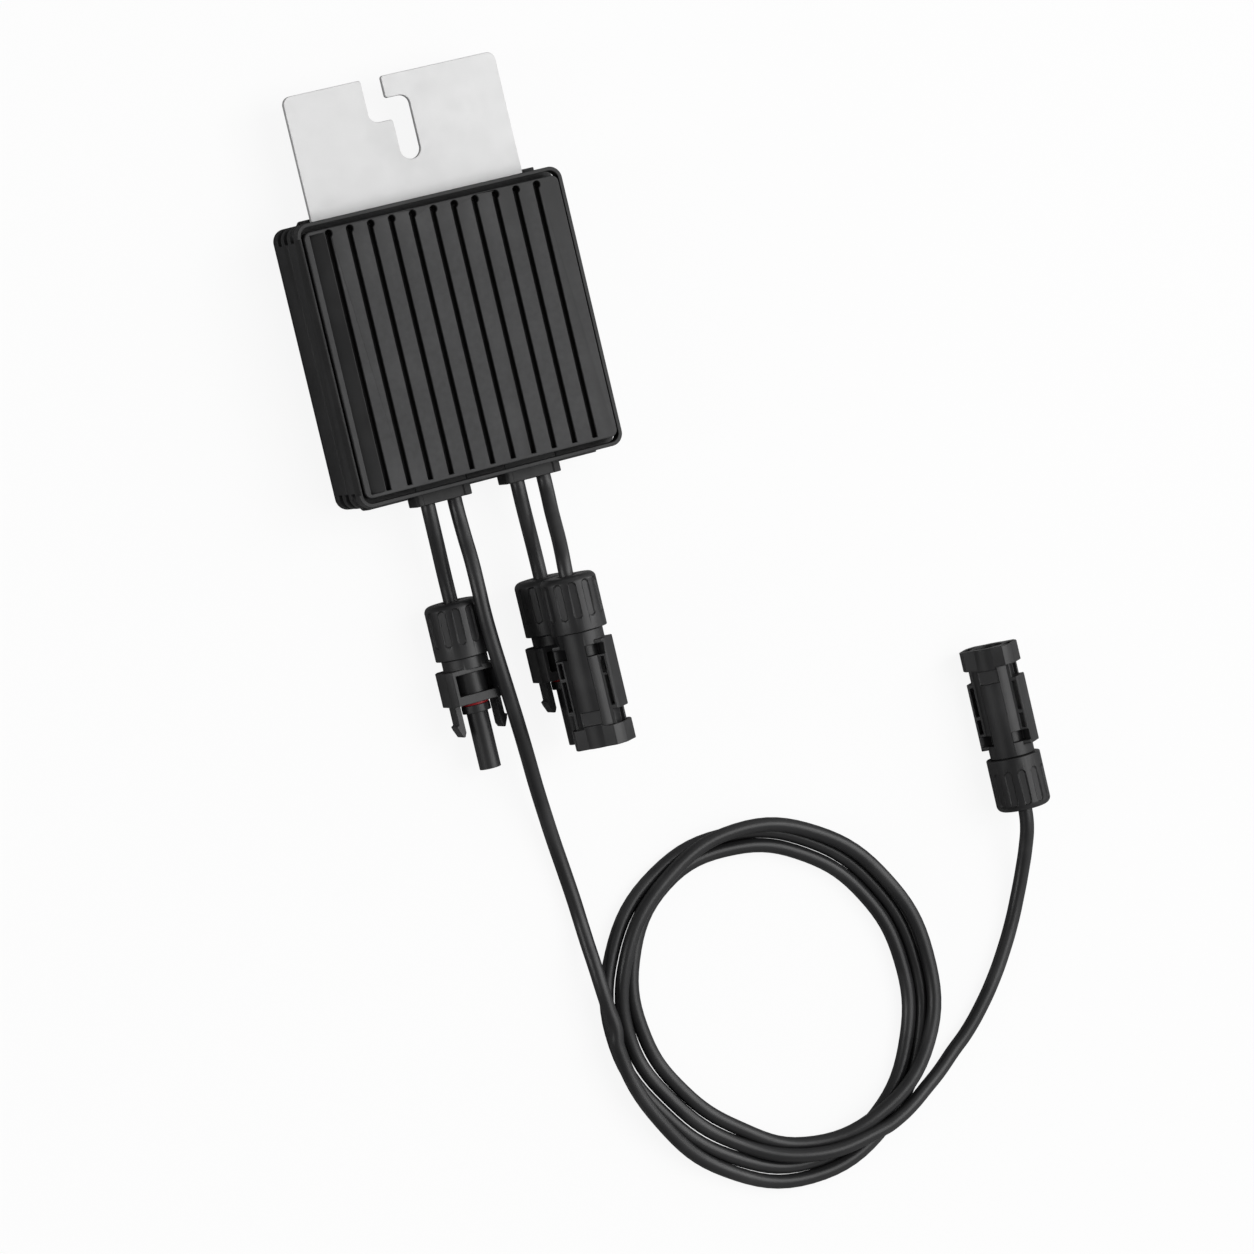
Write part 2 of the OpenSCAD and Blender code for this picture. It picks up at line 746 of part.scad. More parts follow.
module cap_nut() {
    color(dark) difference() {
        rotate_extrude($fn = 72) {
            square([nut_d / 2 - nut_round, nut_round + 1]);
            translate([0, nut_round]) square([nut_d / 2, nut_l - nut_round - 0.2]);
            intersection() {
                translate([nut_d / 2 - nut_round, nut_round]) circle(nut_round);
                square(nut_d);
            }
        }
        translate([0, 0, -1]) cylinder(d = nut_hole_d, h = nut_l);
        translate([0, 0, nut_end_t]) cylinder(d = pocket_d, h = nut_l);
        translate([0, 0, thread_z - run_gap]) cylinder(d = thread_d + 2 * run_gap, h = nut_l);
        for (i = [0:flute_count - 1]) rotate([0, 0, (i + 0.5) * 360 / flute_count])
            translate([nut_d / 2 - flute_depth, 0, 0]) rotate([90, 0, 90]) linear_extrude(3) {
                translate([-flute_w / 2, flute_z0]) square([flute_w, flute_z1 - flute_z0]);
                for (z = [flute_z0, flute_z1]) translate([0, z]) circle(flute_w / 2);
            }
    }
}

// The split ring that the nut closes on the lead
module clamp_ring() {
    h = seal_z - clamp_z - 0.2;
    color(black) translate([0, 0, clamp_z]) difference() {
        cylinder(d = clamp_d, h = h);
        translate([0, 0, -1]) cylinder(d = lead_d + 2 * clamp_gap, h = h + 2);
        for (i = [0:2]) rotate([0, 0, i * 60]) translate([-clamp_d, -0.5, -1])
            cube([2 * clamp_d, 1, 5]);
    }
}

module cable_seal() {
    color(rubber) translate([0, 0, seal_z]) difference() {
        cylinder(d = pocket_d - fit_gap, h = seal_l);
        translate([0, 0, -1]) cylinder(d = lead_d + 0.1, h = seal_l + 2);
    }
}

// The threaded end and neck that both kinds of connector share, with the bore for seal and lead
module rear_end() {
    translate([0, 0, thread_z]) cylinder(d = thread_d, h = nut_l - thread_z + 1);
    translate([0, 0, nut_l]) cylinder(d = neck_d, h = neck_l + 0.5);
}

module rear_bore() {
    translate([0, 0, thread_z - 1]) cylinder(d = pocket_d, h = seal_z + seal_l - thread_z + 1);
    translate([0, 0, seal_z]) cylinder(d = lead_d + 0.2, h = contact_z - seal_z + e);
}

socket_end_z = body_z + socket_body_l;
collar_z = socket_end_z + nose_ring_t;
nose_z = collar_z + collar_l;
nose_end_z = nose_z + nose_l;
ring_seat_d = 8.2;
finger_x = 7.7;
knuckle_r = finger_t / 2;
finger_z = socket_end_z - knuckle_r;
body_thick = 15;
window_w = 14.4;
window_z0 = body_z + 1.8;
window_z1 = socket_end_z - 3.2;

// The slot in the body's end that a latch finger's root turns in
module finger_seat() {
    rotate([90, 0, 0]) linear_extrude(finger_w + 2 * fit_gap, center = true) {
        translate([finger_x, finger_z]) circle(knuckle_r + fit_gap);
        translate([finger_x - knuckle_r - 2 * fit_gap, finger_z])
            square([finger_t + 3 * fit_gap, 3]);
    }
}

module socket_housing() {
    color(dark) difference() {
        union() {
            rear_end();
            difference() {
                intersection() {
                    translate([0, 0, body_z]) cylinder(d = body_round_d, h = socket_body_l);
                    translate([0, 0, body_z + socket_body_l / 2])
                        cube([socket_body_w, body_thick, socket_body_l], center = true);
                }
                box([-window_w / 2, -body_thick, window_z0], [window_w / 2, body_thick, window_z1]);
            }
            translate([0, 0, body_z]) cylinder(d = drum_d, h = socket_body_l);
            translate([0, 0, socket_end_z - e]) cylinder(d = ring_seat_d, h = nose_ring_t + 2 * e);
            translate([0, 0, collar_z]) cylinder(d = collar_d, h = collar_l);
            translate([0, 0, nose_z - e]) cylinder(d = nose_d, h = nose_l + e);
        }
        rear_bore();
        translate([0, 0, contact_z]) cylinder(d = contact_bore_d, h = nose_end_z);
        for (s = [0, 1]) mirror([s, 0, 0]) finger_seat();
    }
}

module nose_ring() {
    color(seal_red) translate([0, 0, socket_end_z]) difference() {
        cylinder(d = collar_d - 0.3, h = nose_ring_t);
        translate([0, 0, -1]) cylinder(d = ring_seat_d, h = nose_ring_t + 2);
    }
}

// A latch finger on the +X side: a round root, a straight stem and a barb
module finger() {
    x0 = finger_x - finger_t / 2;
    x1 = finger_x + finger_t / 2;
    tip = socket_end_z + finger_out;
    color(dark) rotate([90, 0, 0]) linear_extrude(finger_w, center = true) {
        translate([finger_x, finger_z]) circle(knuckle_r);
        polygon([[x0, finger_z], [x1, finger_z], [x1, tip - 4.6], [x1 + 0.9, tip - 4.2],
            [x1 + 0.5, tip - 2.8], [x1 - 0.7, tip], [x0 + 0.7, tip], [x0, tip - 1.5]]);
    }
}

socket_depth = 3.2;        // depth of the contact's socket for the pin, measured below

module socket_contact() {
    color(steel) translate([0, 0, contact_z]) difference() {
        cylinder(d = crimp_d, h = nose_end_z - contact_z - 2);
        translate([0, 0, nose_z - contact_z]) cylinder(d = pin_d + 0.2, h = nose_l);
        for (a = [0, 90]) rotate([0, 0, a])
            translate([-crimp_d, -0.3, nose_z - contact_z + socket_depth])
            cube([2 * crimp_d, 0.6, nose_l]);
    }
}

pin_notch_z = body_z + pin_body_l;
pin_end_z = pin_notch_z + notch_l + flange_l;
mouth_d = nose_d + 0.5;
collar_room_d = collar_d + 0.4;
mouth_back_z = pin_end_z - nose_l - collar_l - nose_ring_t;
pin_thick = 15;            // thickness of the mouth end
barrel_d = 16.4;
wing_thick = 9.6;
pin_round_d = 21.4;
pin_tip_z = pin_end_z - 5.6;

// The shell that a socket connector's nose and fingers go into: a round barrel between two wings
module pin_housing() {
    color(dark) difference() {
        union() {
            rear_end();
            difference() {
                union() {
                    translate([0, 0, body_z]) cylinder(d = barrel_d, h = pin_end_z - body_z);
                    intersection() {
                        translate([0, 0, body_z]) cylinder(d = pin_round_d, h = pin_end_z - body_z);
                        union() {
                            box([-pin_body_w / 2, -wing_thick / 2, body_z],
                                [pin_body_w / 2, wing_thick / 2, pin_end_z]);
                            box([-pin_body_w / 2, -pin_thick / 2, pin_notch_z + notch_l],
                                [pin_body_w / 2, pin_thick / 2, pin_end_z]);
                        }
                    }
                }
                // the four windows on the drum
                for (a = [40, 140, 220, 320]) rotate([0, 0, a])
                    box([0, -2.9, body_z + 1.4], [pin_body_w, 2.9, body_z + 5.3]);
                // the narrow windows along both wings
                for (s = [0, 1]) mirror([s, 0, 0]) {
                    box([7.5, -pin_thick, body_z + 6.2], [8.9, pin_thick, body_z + 11.5]);
                    box([7.5, -pin_thick, body_z + 12.8], [8.9, pin_thick, pin_notch_z - 1.5]);
                    box([pin_body_w / 2 - notch_d, -pin_thick, pin_notch_z],
                        [pin_body_w, pin_thick, pin_notch_z + notch_l]);
                    // the channel for a latch finger
                    box([finger_x - finger_t / 2 - 0.3, -finger_w / 2 - 0.3, pin_notch_z],
                        [finger_x + finger_t / 2 + 0.2, finger_w / 2 + 0.3, pin_end_z + 1]);
                }
                // the square recesses on the front and back
                for (s = [-1, 1]) translate([0, s * barrel_d / 2, pin_notch_z + 1.7])
                    cube([7.4, 2.8, 5], center = true);
            }
            translate([0, 0, body_z]) cylinder(d = drum_d, h = 10);
        }
        rear_bore();
        translate([0, 0, contact_z]) cylinder(d = contact_bore_d, h = mouth_back_z - contact_z + 1);
        translate([0, 0, mouth_back_z]) cylinder(d = mouth_d, h = pin_end_z);
        translate([0, 0, pin_end_z - collar_l - nose_ring_t]) cylinder(d = collar_room_d, h = 10);
    }
}

module pin_contact() {
    color(steel) translate([0, 0, contact_z]) {
        cylinder(d = crimp_d, h = mouth_back_z - contact_z);
        cylinder(d = pin_d, h = pin_tip_z - contact_z - pin_d / 2);
        translate([0, 0, pin_tip_z - contact_z - pin_d / 2]) sphere(d = pin_d);
    }
}

pin_d_roll = 45;           // how far each pin connector is rolled on its axis, to the left
pin_far_roll = 44;

// Lays a connector down with its mating end towards -Y
module lay(at, roll = 0) {
    translate(at) rotate([90, 0, 0]) rotate([0, 0, roll]) children();
}

// Lays a connector down with its mating end towards +Y
module lay_back(at, roll = 0) {
    translate(at) rotate([-90, 0, 0]) rotate([0, 0, -roll]) children();
}

module socket_a_housing() lay(socket_a_at) socket_housing();
module socket_a_nut() lay(socket_a_at) cap_nut();
module socket_a_clamp_ring() lay(socket_a_at) clamp_ring();
module socket_a_seal() lay(socket_a_at) cable_seal();
module socket_a_contact() lay(socket_a_at) socket_contact();
module socket_a_nose_ring() lay(socket_a_at) nose_ring();
module socket_a_finger_left() lay(socket_a_at) mirror([1, 0, 0]) finger();
module socket_a_finger_right() lay(socket_a_at) finger();

module socket_c_housing() lay(socket_c_at) socket_housing();
module socket_c_nut() lay(socket_c_at) cap_nut();
module socket_c_clamp_ring() lay(socket_c_at) clamp_ring();
module socket_c_seal() lay(socket_c_at) cable_seal();
module socket_c_contact() lay(socket_c_at) socket_contact();
module socket_c_nose_ring() lay(socket_c_at) nose_ring();
module socket_c_finger_left() lay(socket_c_at) mirror([1, 0, 0]) finger();
module socket_c_finger_right() lay(socket_c_at) finger();

module pin_d_housing() lay(pin_d_at, pin_d_roll) pin_housing();
module pin_d_nut() lay(pin_d_at) cap_nut();
module pin_d_clamp_ring() lay(pin_d_at) clamp_ring();
module pin_d_seal() lay(pin_d_at) cable_seal();
module pin_d_contact() lay(pin_d_at) pin_contact();

module pin_far_housing() lay_back(pin_far_at, pin_far_roll) pin_housing();
module pin_far_nut() lay_back(pin_far_at) cap_nut();
module pin_far_clamp_ring() lay_back(pin_far_at) clamp_ring();
module pin_far_seal() lay_back(pin_far_at) cable_seal();
module pin_far_contact() lay_back(pin_far_at) pin_contact();

// ---- draw

front_shell();
back_cover();
shell_gasket();
bracket();
bracket_screws();
cover_screws();
gland_left();
gland_right();
gland_seals();
board();
board_screws();
heat_spreader();
thermal_pad();
power_transistors();
potting_layer();
inductor_core();
inductor_coil();
filter_capacitors();
film_capacitors();
control_chips();
comms_transformer();
lead_terminals();
lead_tails();
lead_a();
lead_c();
lead_d();
lead_long_near();
lead_long_coil();
lead_long_far();
socket_a_housing();
socket_a_nut();
socket_a_clamp_ring();
socket_a_seal();
socket_a_contact();
socket_a_nose_ring();
socket_a_finger_left();
socket_a_finger_right();
socket_c_housing();
socket_c_nut();
socket_c_clamp_ring();
socket_c_seal();
socket_c_contact();
socket_c_nose_ring();
socket_c_finger_left();
socket_c_finger_right();
pin_d_housing();
pin_d_nut();
pin_d_clamp_ring();
pin_d_seal();
pin_d_contact();
pin_far_housing();
pin_far_nut();
pin_far_clamp_ring();
pin_far_seal();
pin_far_contact();
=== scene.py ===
import math

import bmesh
import bpy
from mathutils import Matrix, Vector


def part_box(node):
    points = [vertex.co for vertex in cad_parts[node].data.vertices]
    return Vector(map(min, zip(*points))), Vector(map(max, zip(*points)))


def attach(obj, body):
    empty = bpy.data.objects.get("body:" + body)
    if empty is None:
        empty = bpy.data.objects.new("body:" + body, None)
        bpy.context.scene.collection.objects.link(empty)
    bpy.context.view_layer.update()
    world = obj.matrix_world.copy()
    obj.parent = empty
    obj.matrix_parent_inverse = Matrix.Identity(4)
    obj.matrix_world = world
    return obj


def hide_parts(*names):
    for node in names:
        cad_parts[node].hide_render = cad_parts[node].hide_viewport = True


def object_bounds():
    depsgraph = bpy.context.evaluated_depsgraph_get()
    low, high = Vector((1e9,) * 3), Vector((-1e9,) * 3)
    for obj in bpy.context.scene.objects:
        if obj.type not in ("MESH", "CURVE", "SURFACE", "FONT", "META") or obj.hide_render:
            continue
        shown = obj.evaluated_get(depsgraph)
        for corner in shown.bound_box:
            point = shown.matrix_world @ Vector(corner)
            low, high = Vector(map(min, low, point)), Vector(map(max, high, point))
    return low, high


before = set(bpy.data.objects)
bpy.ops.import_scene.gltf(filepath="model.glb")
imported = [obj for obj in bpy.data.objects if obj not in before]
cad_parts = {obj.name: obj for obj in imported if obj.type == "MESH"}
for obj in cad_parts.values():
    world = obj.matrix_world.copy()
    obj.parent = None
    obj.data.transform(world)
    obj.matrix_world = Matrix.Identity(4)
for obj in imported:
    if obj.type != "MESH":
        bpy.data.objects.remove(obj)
cad_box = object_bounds()
MM = 0.001


# ---- Camera
# It stands above the ribbed front, a little to the left, and its long lens keeps the casing's
# edges nearly parallel.
camera_data = bpy.data.cameras.new("camera")
camera_data.sensor_width = 36.0
camera_data.lens = 143.5
camera_data.clip_end = 20.0
camera_data.dof.use_dof = False
camera = bpy.data.objects.new("camera", camera_data)
camera.location = (-0.5946, 0.0403, 1.6557)
camera.rotation_mode = "ZXY"
camera.rotation_euler = [math.radians(a) for a in (-5.01, -21.13, -13.31)]
bpy.context.scene.collection.objects.link(camera)
bpy.context.scene.camera = camera


# ---- Leads
# Four single-core leads with an extruded, cross-linked black sheath, 5.2 mm thick. Three are
# short and end in their connectors. The long one is wound in a loose flat coil of 3.3 turns.
lead_d = 5.2
sheath_black = (0.02, 0.02, 0.021, 1)


def new_group(name, inputs, outputs):
    """An empty shader node group with float or colour sockets, its input and its output node."""
    kinds = {"f": "NodeSocketFloat", "c": "NodeSocketColor", "v": "NodeSocketVector"}
    tree = bpy.data.node_groups.new(name, "ShaderNodeTree")
    for side, sockets in (("INPUT", inputs), ("OUTPUT", outputs)):
        for label, kind in sockets:
            tree.interface.new_socket(name=label, in_out=side, socket_type=kinds[kind])
    return tree, tree.nodes.new("NodeGroupInput"), tree.nodes.new("NodeGroupOutput")


def maths(tree, operation, a, b=0.0):
    """One maths node; a and b are numbers or sockets."""
    node = tree.nodes.new("ShaderNodeMath")
    node.operation = operation
    for socket, value in zip(node.inputs, (a, b)):
        if isinstance(value, (int, float)):
            socket.default_value = value
        else:
            tree.links.new(value, socket)
    return node.outputs[0]


def mixed(tree, factor, a, b):
    """A colour between a and b; each is a colour or a socket."""
    node = tree.nodes.new("ShaderNodeMix")
    node.data_type = "RGBA"
    for socket, value in zip((node.inputs[0], node.inputs[6], node.inputs[7]), (factor, a, b)):
        if isinstance(value, (int, float, tuple)):
            socket.default_value = value
        else:
            tree.links.new(value, socket)
    return node.outputs[2]


def noise(tree, vector, scale, detail=3.0):
    """Noise from 0 to 1 whose scale is a number or a socket."""
    node = tree.nodes.new("ShaderNodeTexNoise")
    node.inputs["Detail"].default_value = detail
    if isinstance(scale, (int, float)):
        node.inputs["Scale"].default_value = scale
    else:
        tree.links.new(scale, node.inputs["Scale"])
    tree.links.new(vector, node.inputs["Vector"])
    return node.outputs["Fac"]


# Grain: fine moulded or cast texture, slow drift of tone and patchy gloss. The scales are
# features per metre.
drift_scale, gloss_scale, scuff_scale = 38.0, 210.0, 420.0
grain, g_in, g_out = new_group(
    "surface_grain",
    (("Colour", "c"), ("Drift", "f"), ("Fine Scale", "f"), ("Gloss", "f"), ("Gloss Spread", "f")),
    (("Colour", "c"), ("Roughness", "f"), ("Height", "f")))
place = grain.nodes.new("ShaderNodeTexCoord").outputs["Object"]
fine = noise(grain, place, g_in.outputs["Fine Scale"], 4.0)
slow = noise(grain, place, drift_scale, 3.0)
patch = noise(grain, place, gloss_scale, 5.0)
shade = maths(grain, "MULTIPLY", maths(grain, "SUBTRACT", slow, 0.5), g_in.outputs["Drift"])
light_tone = mixed(grain, 0.35, g_in.outputs["Colour"], (1, 1, 1, 1))
tone_factor = maths(grain, "MAXIMUM", shade, 0.0)
dark_factor = maths(grain, "MAXIMUM", maths(grain, "MULTIPLY", shade, -4.0), 0.0)
toned = mixed(grain, tone_factor, g_in.outputs["Colour"], light_tone)
grain.links.new(mixed(grain, dark_factor, toned, (0, 0, 0, 1)), g_out.inputs["Colour"])
uneven = maths(grain, "SUBTRACT", patch, 0.5)
spread = maths(grain, "MULTIPLY", uneven, g_in.outputs["Gloss Spread"])
grain.links.new(maths(grain, "ADD", g_in.outputs["Gloss"], spread), g_out.inputs["Roughness"])
grain.links.new(fine, g_out.inputs["Height"])

# Wear: edges and corners rubbed a little lighter, broken up by scuffs.
wear, w_in, w_out = new_group("edge_wear", (("Colour", "c"), ("Worn Colour", "c"), ("Amount", "f")),
                              (("Colour", "c"),))
pointed = wear.nodes.new("ShaderNodeNewGeometry").outputs["Pointiness"]
edge = wear.nodes.new("ShaderNodeMapRange")
for label, value in (("From Min", 0.52), ("From Max", 0.60)):
    edge.inputs[label].default_value = value
wear.links.new(pointed, edge.inputs["Value"])
scuffs = noise(wear, wear.nodes.new("ShaderNodeTexCoord").outputs["Object"], scuff_scale, 4.0)
broken = maths(wear, "MULTIPLY", edge.outputs[0], scuffs)
worn = maths(wear, "MULTIPLY", broken, w_in.outputs["Amount"])
rubbed_colour = mixed(wear, worn, w_in.outputs["Colour"], w_in.outputs["Worn Colour"])
wear.links.new(rubbed_colour, w_out.inputs["Colour"])

# Painted shade: narrow channels and slots are painted darker, towards black, standing in for the
# shade that falls in them, and get a duller gloss than open faces. A place counts as deep where
# little of the space within the reach is open.
channel_reach = 6.0
painted_shade_black = (0.001, 0.001, 0.001, 1)
channel_dulling = 0.5
painted_shade_tree, d_in, d_out = new_group("painted_channel_shade", (("Colour", "c"), ("Amount", "f")),
                                (("Colour", "c"), ("Mask", "f")))
openness = painted_shade_tree.nodes.new("ShaderNodeAmbientOcclusion")
openness.samples = 8
openness.inputs["Distance"].default_value = channel_reach * MM
closed = painted_shade_tree.nodes.new("ShaderNodeMapRange")
for label, value in (("From Min", 0.62), ("From Max", 0.30), ("To Min", 0.0), ("To Max", 1.0)):
    closed.inputs[label].default_value = value
painted_shade_tree.links.new(openness.outputs["AO"], closed.inputs["Value"])
painted_shade_mask = maths(painted_shade_tree, "MULTIPLY", closed.outputs[0], d_in.outputs["Amount"])
painted_shade_tree.links.new(mixed(painted_shade_tree, painted_shade_mask, d_in.outputs["Colour"], painted_shade_black),
                 d_out.inputs["Colour"])
painted_shade_tree.links.new(painted_shade_mask, d_out.inputs["Mask"])


def finish(name, colour, roughness, metallic=0.0, worn_colour=None, wear_amount=0.0, drift=0.25,
           fine_scale=2600.0, gloss_spread=0.12, bump=0.06, bump_depth=0.02, ior=1.5, painted_shade_amount=0.0):
    """A material made of the grain, wear and painted channel shade groups, with its own values."""
    material = bpy.data.materials.new(name)
    material.use_nodes = True
    tree = material.node_tree
    shader = tree.nodes["Principled BSDF"]
    shader.inputs["Metallic"].default_value = metallic
    shader.inputs["IOR"].default_value = ior
    skin = tree.nodes.new("ShaderNodeGroup")
    skin.node_tree = grain
    skin.inputs["Colour"].default_value = colour
    for label, value in (("Drift", drift), ("Fine Scale", fine_scale), ("Gloss", roughness),
                         ("Gloss Spread", gloss_spread)):
        skin.inputs[label].default_value = value
    rubbed = tree.nodes.new("ShaderNodeGroup")
    rubbed.node_tree = wear
    rubbed.inputs["Worn Colour"].default_value = worn_colour or colour
    rubbed.inputs["Amount"].default_value = wear_amount
    tree.links.new(skin.outputs["Colour"], rubbed.inputs["Colour"])
    # Narrow channels get painted shade: the base colour is darkened towards black, and the gloss is
    # duller.
    if painted_shade_amount:
        painted_shade_node = tree.nodes.new("ShaderNodeGroup")
        painted_shade_node.node_tree = painted_shade_tree
        painted_shade_node.inputs["Amount"].default_value = painted_shade_amount
        tree.links.new(rubbed.outputs["Colour"], painted_shade_node.inputs["Colour"])
        tree.links.new(painted_shade_node.outputs["Colour"], shader.inputs["Base Color"])
        dulled = maths(tree, "MULTIPLY", painted_shade_node.outputs["Mask"], channel_dulling)
        tree.links.new(maths(tree, "ADD", skin.outputs["Roughness"], dulled),
                       shader.inputs["Roughness"])
    else:
        tree.links.new(rubbed.outputs["Colour"], shader.inputs["Base Color"])
        tree.links.new(skin.outputs["Roughness"], shader.inputs["Roughness"])
    relief = tree.nodes.new("ShaderNodeBump")
    relief.inputs["Strength"].default_value = bump
    relief.inputs["Distance"].default_value = bump_depth * MM
    tree.links.new(skin.outputs["Height"], relief.inputs["Height"])
    tree.links.new(relief.outputs["Normal"], shader.inputs["Normal"])
    return material


sheath = finish("lead_sheath_black", sheath_black, 0.36, drift=0.3, fine_scale=1500.0, bump=0.25,
                bump_depth=0.03, gloss_spread=0.10)


def lead(name, points_mm, nodes, with_pieces):
    """One lead as a round curve through its route, in place of the plain CAD lengths."""
    curve = bpy.data.curves.new(name, "CURVE")
    curve.dimensions = "3D"
    curve.bevel_depth = lead_d / 2 * MM
    curve.bevel_resolution = 6
    curve.resolution_u = 8
    curve.use_fill_caps = True
    spline = curve.splines.new("BEZIER")
    spline.bezier_points.add(len(points_mm) - 1)
    for point, at in zip(spline.bezier_points, points_mm):
        point.co = Vector(at) * MM
        point.handle_left_type = point.handle_right_type = "AUTO"
    curve.materials.append(sheath)
    piece = bpy.data.objects.new(name, curve)
    bpy.context.scene.collection.objects.link(piece)
    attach(piece, "converter")
    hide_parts(*nodes)


def connector_nodes(kind, letter):
    """The CAD nodes of one connector, which lie on their lead's end."""
    parts = ["housing", "nut", "clamp_ring", "seal", "contact"]
    if kind == "socket":
        parts += ["nose_ring", "finger_left", "finger_right"]
    return ["%s_%s_%s" % (kind, letter, part) for part in parts]


# Routes in mm, from each gland's outer face to the contact inside each connector
lead("visual_lead_a", [(-22.15, -54.3, 14.5), (-22.15, -57, 14.5), (-21.9, -64, 13.7),
                       (-21.5, -70, 12.5), (-21.1, -76, 11.2), (-20.8, -82, 10.3),
                       (-20.7, -88, 10.1), (-20.7, -110.5, 10.1)],
     ["lead_a"], connector_nodes("socket", "a"))
lead("visual_lead_c", [(12.05, -54.3, 14.5), (12.05, -57, 14.5), (12.4, -64, 13.6),
                       (12.9, -70, 12.5), (13.5, -76, 11.2), (13.9, -82, 10.3),
                       (14, -88, 10.1), (14, -110.5, 10.1)],
     ["lead_c"], connector_nodes("socket", "c"))
lead("visual_lead_d", [(22.15, -54.3, 14.5), (22.15, -56.5, 14.5), (21.6, -62, 15.9),
                       (20.7, -67, 18.1), (19.6, -72, 21.3), (18.3, -77, 25.1),
                       (17, -82, 28.3), (16.2, -87, 29.8), (16, -90.5, 30.1),
                       (16, -110.5, 30.1)],
     ["lead_d"], connector_nodes("pin", "d"))

coil_at = (64.7, -258.1)
# Radius and height of each turn at every 30 degrees, from the left side round by the bottom.
coil_turns = (
    ((62.6, 8.1), (61.0, 6.6), (63.4, 3.4), (66.8, 2.8), (65.6, 2.8), (61.7, 2.8),
     (58.7, 2.8), (57.6, 2.8), (58.6, 2.8), (61.3, 2.8), (63.6, 2.8), (63.4, 2.8)),
    ((61.4, 2.8), (57.4, 2.8), (58.2, 2.8), (61.5, 2.8), (60.2, 2.8), (56.4, 2.8),
     (53.4, 2.8), (52.3, 2.8), (53.3, 2.8), (56.1, 2.8), (58.2, 2.8), (55.0, 2.8)),
    ((50.0, 2.8), (46.6, 2.8), (47.6, 3.2), (54.4, 3.6), (59.0, 8.0), (62.8, 8.1),
     (62.1, 7.3), (61.1, 7.2), (61.8, 7.3), (62.7, 7.9), (60.6, 7.6), (59.0, 6.3)),
    ((55.7, 3.0), (52.0, 3.4), (52.9, 3.4), (58.2, 7.4)))
coil_route = []
for step, (radius, height) in enumerate(place for turn in coil_turns for place in turn):
    angle = math.radians(180 + 30 * step)
    coil_route.append((coil_at[0] + radius * math.cos(angle),
                       coil_at[1] + radius * math.sin(angle), height))
long_near = [(-12.05, -54.3, 14.5), (-12.05, -58, 14.5), (-12.4, -68, 16.5), (-12.9, -77, 19.3),
             (-13.5, -86, 21.2), (-13.7, -95, 21.7), (-13.3, -105, 21.7), (-12.4, -116, 21.3),
             (-11.1, -127, 19.9), (-9.4, -138, 17.2), (-7.4, -149, 13.2), (-5.5, -160, 9.2),
             (-3.6, -171, 6), (-1.9, -182, 3.8), (-0.4, -193, 2.8), (0.7, -204, 2.7),
             (1.1, -212, 3.2), (1.1, -220, 4.9), (1.1, -228, 7), (1.3, -236, 8.2),
             (1.9, -244, 8.4), (2.7, -251.5, 8.4)]
long_far = [(94.5, -314.9, 8.1), (101, -312.9, 8), (107.8, -309.9, 7.2), (115, -306, 5.8),
            (122.4, -301.9, 4.2), (130, -296.6, 3), (137.3, -291.3, 2.7), (145.2, -283.8, 2.7),
            (152.7, -275.2, 2.7), (159.2, -266.2, 2.7), (164.7, -257.2, 2.9), (169.1, -248, 3.8),
            (172.5, -239, 5.6), (174.8, -231, 7.8), (176.3, -224, 9.5), (176.9, -217.5, 10.1),
            (176.9, -195.6, 10.1)]
lead("visual_lead_long", long_near + coil_route + long_far,
     ["lead_long_near", "lead_long_coil", "lead_long_far"],
     connector_nodes("pin", "far"))


sharp_from = math.radians(30)      # edges that turn more than this are rounded
flat_within = math.radians(0.6)    # facets within this of each other are joined first


def dress(node, material, edge_mm=0.0, segments=2):
    """Gives a CAD piece its material and, on its sharp edges, a small moulded or broken edge."""
    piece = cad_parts[node]
    piece.data.materials.clear()
    piece.data.materials.append(material)
    if edge_mm:
        weld = piece.modifiers.new("weld", "WELD")
        weld.merge_threshold = 1e-6
        flats = piece.modifiers.new("flats", "DECIMATE")
        flats.decimate_type = "DISSOLVE"
        flats.angle_limit = flat_within
        rounded = piece.modifiers.new("edges", "BEVEL")
        rounded.width = edge_mm * MM
        rounded.segments = segments
        rounded.limit_method = "ANGLE"
        rounded.angle_limit = sharp_from
        rounded.use_clamp_overlap = False
        smooth = piece.modifiers.new("normals", "WEIGHTED_NORMAL")
        smooth.keep_sharp = False
        smooth.weight = 60


# ---- Casing
# Two die-cast aluminium shells with a fine matt black powder coat. The grooved front is the
# heat sink, and the flat back cover is screwed to it from behind over a gasket.
casing_black = (0.0175, 0.0175, 0.018, 1)
# The coat's grooves and channels are painted darker towards black as painted shade.
powder_coat = finish("casing_powder_coat", casing_black, 0.47, worn_colour=(0.09, 0.09, 0.095, 1),
                     wear_amount=0.35, drift=0.2, fine_scale=3200.0, gloss_spread=0.07, bump=0.35,
                     bump_depth=0.03, ior=1.42, painted_shade_amount=1.0)
dress("front_shell", powder_coat, 0.28, 3)
dress("back_cover", powder_coat, 0.35, 3)

gasket_rubber = finish("gasket_rubber", (0.03, 0.03, 0.03, 1), 0.7, fine_scale=900.0, bump=0.2)
dress("shell_gasket", gasket_rubber)


# ---- Bracket
# A 2 mm sheet plate, blanked with a hook slot, with a pale passivated skin and sheared edges. It
# is screwed into a pocket between the shells, and hangs the casing on a module's frame.
plate_finish = finish("bracket_pale_metal", (0.74, 0.74, 0.74, 1), 0.5, metallic=0.3,
                      worn_colour=(0.72, 0.72, 0.72, 1), wear_amount=0.3, drift=0.10,
                      fine_scale=1800.0, bump=0.12, bump_depth=0.02)
dress("bracket", plate_finish, 0.25, 2)


